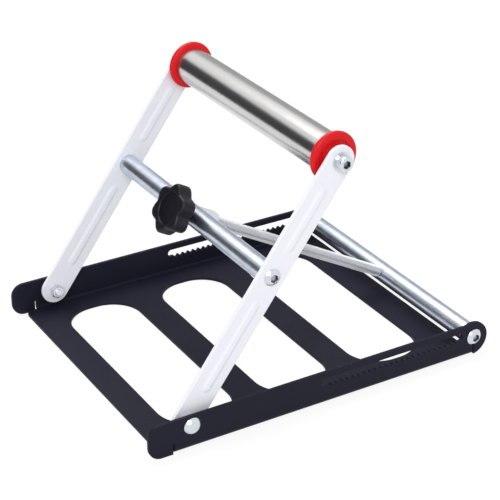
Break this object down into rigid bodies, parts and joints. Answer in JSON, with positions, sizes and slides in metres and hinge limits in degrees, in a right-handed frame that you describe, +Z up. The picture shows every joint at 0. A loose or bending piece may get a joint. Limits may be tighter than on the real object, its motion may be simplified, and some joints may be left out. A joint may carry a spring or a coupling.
{
  "type": "folding roller work support",
  "caption": "Low folding roller stand that holds long stock level beside a miter saw: pressed base, swinging arms, roller and a star-knob screw that sets its height.",
  "frame": {"origin": "middle of the base's underside, on the floor", "axes": "+X from the arm pivots at the front to the rear tube, +Y from the near flange to the far flange, +Z up"},
  "size_m": [0.26, 0.2172, 0.1841],
  "materials": {
    "base_coat": "satin black powder coat",
    "arm_coat": "white powder coat",
    "zinc": "bright zinc plate",
    "zinc_tube": "bright zinc plate",
    "screw_steel": "zinc-plated steel",
    "roller_steel": "polished stainless steel",
    "red_plastic": "glossy red plastic",
    "knob_plastic": "matte black plastic",
    "brass": "turned brass"
  },
  "bodies": {
    "base": {"base_plate": "base_coat", "pivot_bolts": "zinc", "pivot_nuts": "zinc", "pivot_spacers": "zinc", "rear_bolts": "zinc"},
    "arms": {"near_arm": "arm_coat", "far_arm": "arm_coat", "mid_bolts": "zinc", "mid_washers": "zinc", "roller_axle": "screw_steel", "axle_spacers": "zinc", "axle_washers": "zinc", "axle_screws": "zinc"},
    "roller": {"roller_tube": "roller_steel", "near_roller_cap": "red_plastic", "far_roller_cap": "red_plastic"},
    "rear_strut": {"rear_tube": "zinc_tube", "near_rear_plug": "zinc", "far_rear_plug": "zinc"},
    "mid_slider": {"mid_tube": "zinc_tube", "near_mid_plug": "zinc", "far_mid_plug": "zinc", "screw_nut": "zinc"},
    "screw": {"lead_screw": "screw_steel", "star_knob": "knob_plastic", "knob_insert": "brass", "thrust_washer": "zinc", "screw_lock_nut": "zinc"}
  },
  "joints": [
    {"name": "arm_swing", "type": "hinge", "parent": "base", "child": "arms", "pos_m": [-0.0995, 0, 0.0167], "axis": [0, 1, 0], "range_deg": [0, 45]},
    {"name": "roller_spin", "type": "hinge", "parent": "arms", "child": "roller", "pos_m": [0.01006, 0, 0.1675], "axis": [0, 1, 0], "continuous": true},
    {"name": "strut_swing", "type": "hinge", "parent": "base", "child": "rear_strut", "pos_m": [0.1187, 0, 0.0141], "axis": [0, -1, 0], "range_deg": [0, 19.65]},
    {"name": "mid_slide", "type": "slide", "parent": "rear_strut", "child": "mid_slider", "axis": [0.8754, 0, -0.4834], "range_m": [0, 0.0625]},
    {"name": "knob_turn", "type": "hinge", "parent": "rear_strut", "child": "screw", "pos_m": [0.1187, 0, 0.0141], "axis": [-0.8754, 0, 0.4834], "range_deg": [0, 17976]}
  ],
  "couplings": [
    {"joint": "strut_swing", "follows": "arm_swing", "ratio": 0.43619},
    {"joint": "mid_slide", "follows": "arm_swing", "m_per_rad": 0.079471},
    {"joint": "knob_turn", "follows": "arm_swing", "ratio": 399.47}
  ]
}
